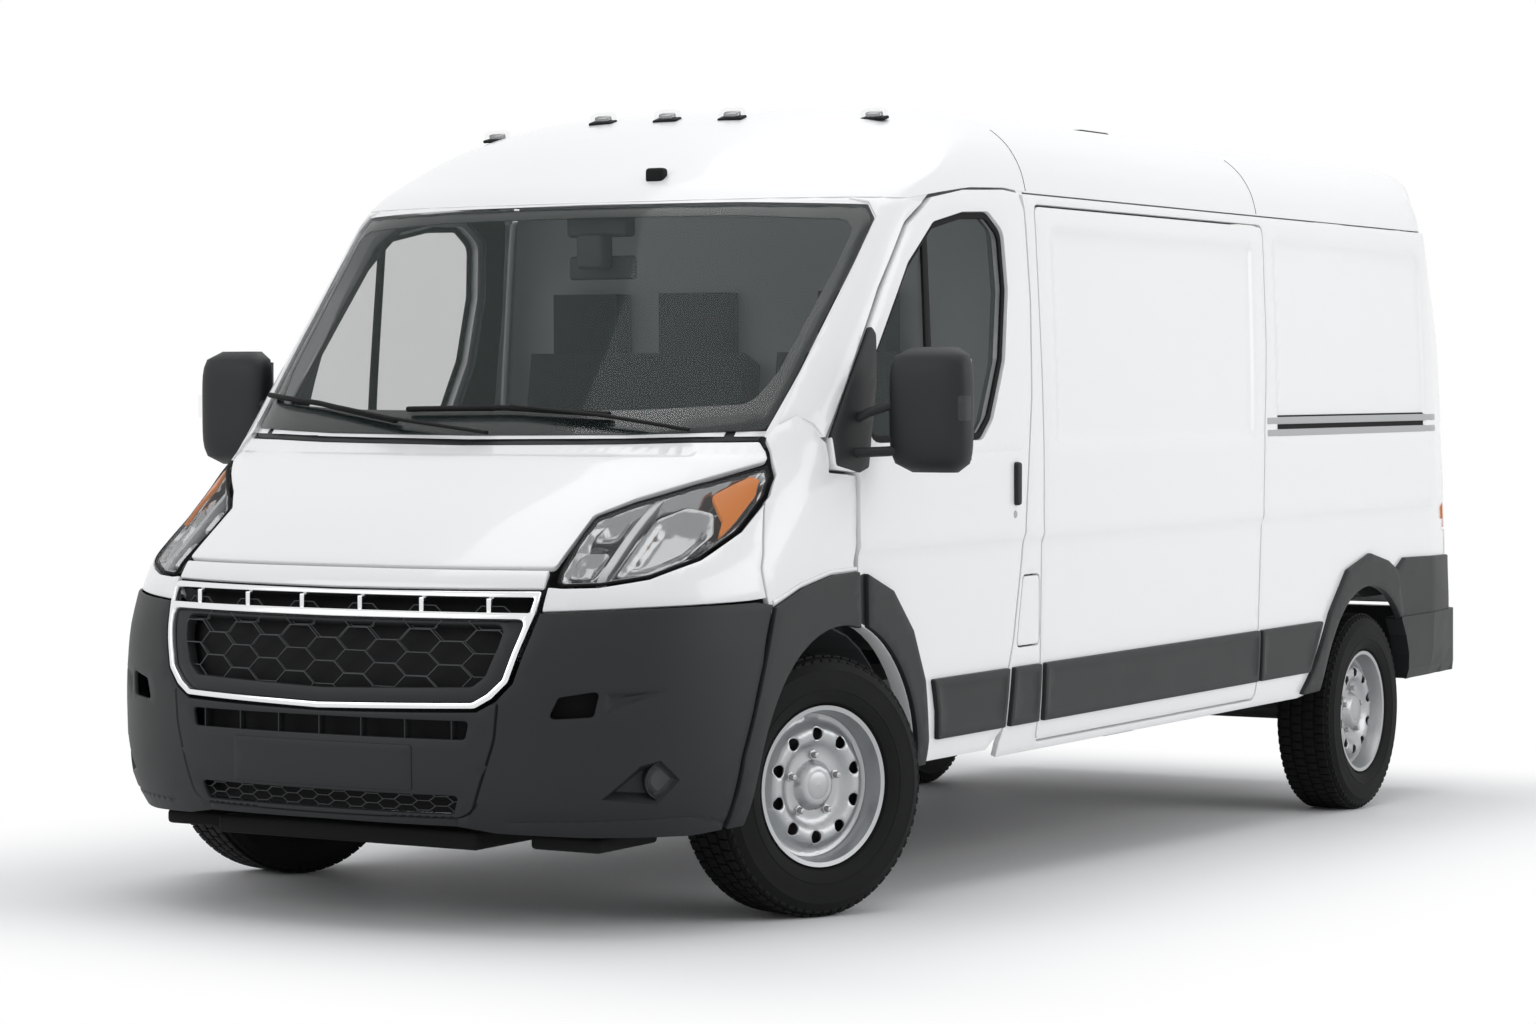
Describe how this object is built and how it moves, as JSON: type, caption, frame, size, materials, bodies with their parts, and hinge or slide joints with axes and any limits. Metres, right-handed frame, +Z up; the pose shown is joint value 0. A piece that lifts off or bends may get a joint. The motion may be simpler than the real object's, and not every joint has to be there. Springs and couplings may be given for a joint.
{
  "type": "panel van",
  "caption": "Long medium-roof panel van with a short sloping nose, split body panels, hinged hood and doors, steered front wheels and a hollow cab and load space.",
  "frame": {"origin": "on the road under the van, at the middle of its length and width", "axes": "+X to the van's left, +Y to its rear, +Z up"},
  "size_m": [2.65, 6.0682, 2.4479],
  "materials": {
    "white_paint": "gloss white paint",
    "dark_trim": "fine-grained dark grey plastic",
    "bright_silver": "satin bright silver",
    "window_glass": "clear, faintly tinted",
    "lamp_lens": "clear lens over bright reflectors",
    "tail_lens": "red lens",
    "tyre_rubber": "black rubber",
    "wheel_silver": "silver-painted pressed steel",
    "frame_black": "satin black paint",
    "cast_iron": "as cast",
    "cast_alloy": "as cast",
    "plain_steel": "plain pipe",
    "cabin_plastic": "dark grey moulding",
    "seat_cloth": "dark woven cloth",
    "grey_liner": "light grey panel"
  },
  "bodies": {
    "body": {"bulkhead": "grey_liner", "cab_frame": "white_paint", "chassis_frame": "frame_black", "dashboard": "cabin_plastic", "driver_seat": "seat_cloth", "engine_block": "cast_alloy", "exhaust": "plain_steel", "fender_left": "white_paint", "fender_right": "white_paint", "floor": "frame_black", "front_bumper": "dark_trim", "front_subframe": "frame_black", "fuel_tank": "frame_black", "grille_frame": "bright_silver", "grille_mesh": "dark_trim", "headlamp_left": "lamp_lens", "headlamp_right": "lamp_lens", "passenger_bench": "seat_cloth", "radiator": "cast_alloy", "rear_axle": "cast_iron", "rear_bumper": "dark_trim", "roof": "white_paint", "side_left": "white_paint", "side_right": "white_paint", "slide_door_left": "white_paint", "slide_door_right": "white_paint", "steering_wheel": "cabin_plastic", "strut_left": "frame_black", "strut_right": "frame_black", "tail_lamp_left": "tail_lens", "tail_lamp_right": "tail_lens", "wheel_liner_left": "cabin_plastic", "wheel_liner_right": "cabin_plastic", "windscreen": "window_glass"},
    "hood": {"hood": "white_paint"},
    "front_door_left": {"front_door_left": "white_paint", "door_glass_left": "window_glass"},
    "front_door_right": {"front_door_right": "white_paint", "door_glass_right": "window_glass"},
    "rear_door_left": {"rear_door_left": "white_paint"},
    "rear_door_right": {"rear_door_right": "white_paint"},
    "fuel_flap": {"fuel_flap": "white_paint"},
    "steer_left": {"knuckle_left": "cast_iron"},
    "steer_right": {"knuckle_right": "cast_iron"},
    "wheel_front_left": {"rim_front_left": "wheel_silver", "tyre_front_left": "tyre_rubber"},
    "wheel_front_right": {"rim_front_right": "wheel_silver", "tyre_front_right": "tyre_rubber"},
    "wheel_rear_left": {"rim_rear_left": "wheel_silver", "tyre_rear_left": "tyre_rubber"},
    "wheel_rear_right": {"rim_rear_right": "wheel_silver", "tyre_rear_right": "tyre_rubber"}
  },
  "joints": [
    {"name": "hood_hinge", "type": "hinge", "parent": "body", "child": "hood", "pos_m": [0, -2.18783, 1.31617], "axis": [-1, 0, 0], "range_deg": [0, 45]},
    {"name": "front_door_left_hinge", "type": "hinge", "parent": "body", "child": "front_door_left", "pos_m": [0.975, -1.83463, 1.00525], "axis": [0, 0.026, -0.9997], "range_deg": [0, 60]},
    {"name": "front_door_right_hinge", "type": "hinge", "parent": "body", "child": "front_door_right", "pos_m": [-0.975, -1.83463, 1.00525], "axis": [0, -0.026, 0.9997], "range_deg": [0, 60]},
    {"name": "rear_door_left_hinge", "type": "hinge", "parent": "body", "child": "rear_door_left", "pos_m": [0.812, 3.00553, 1.33119], "axis": [0, 0.026, -0.9997], "range_deg": [0, 180]},
    {"name": "rear_door_right_hinge", "type": "hinge", "parent": "body", "child": "rear_door_right", "pos_m": [-0.812, 3.00553, 1.33119], "axis": [0, -0.026, 0.9997], "range_deg": [0, 180]},
    {"name": "fuel_flap_hinge", "type": "hinge", "parent": "body", "child": "fuel_flap", "pos_m": [1, -0.7442, 0.81053], "axis": [0, -0.026, 0.9997], "range_deg": [0, 100]},
    {"name": "steer_left", "type": "hinge", "parent": "body", "child": "steer_left", "pos_m": [0.83, -1.99767, 0.36], "axis": [0, 0, 1], "range_deg": [-15, 55]},
    {"name": "steer_right", "type": "hinge", "parent": "body", "child": "steer_right", "pos_m": [-0.83, -1.99767, 0.36], "axis": [0, 0, 1], "range_deg": [-15, 55]},
    {"name": "spin_front_left", "type": "hinge", "parent": "steer_left", "child": "wheel_front_left", "pos_m": [0.90039, -2.02357, 0.36], "axis": [0.9385, -0.3453, 0], "continuous": true},
    {"name": "spin_front_right", "type": "hinge", "parent": "steer_right", "child": "wheel_front_right", "pos_m": [-0.90039, -1.97177, 0.36], "axis": [0.9385, -0.3453, 0], "continuous": true},
    {"name": "spin_rear_left", "type": "hinge", "parent": "body", "child": "wheel_rear_left", "pos_m": [0.895, 2.01144, 0.36], "axis": [1, 0, 0], "continuous": true},
    {"name": "spin_rear_right", "type": "hinge", "parent": "body", "child": "wheel_rear_right", "pos_m": [-0.895, 2.01144, 0.36], "axis": [1, 0, 0], "continuous": true}
  ],
  "couplings": [
    {"joint": "steer_right", "follows": "steer_left", "ratio": 1}
  ]
}
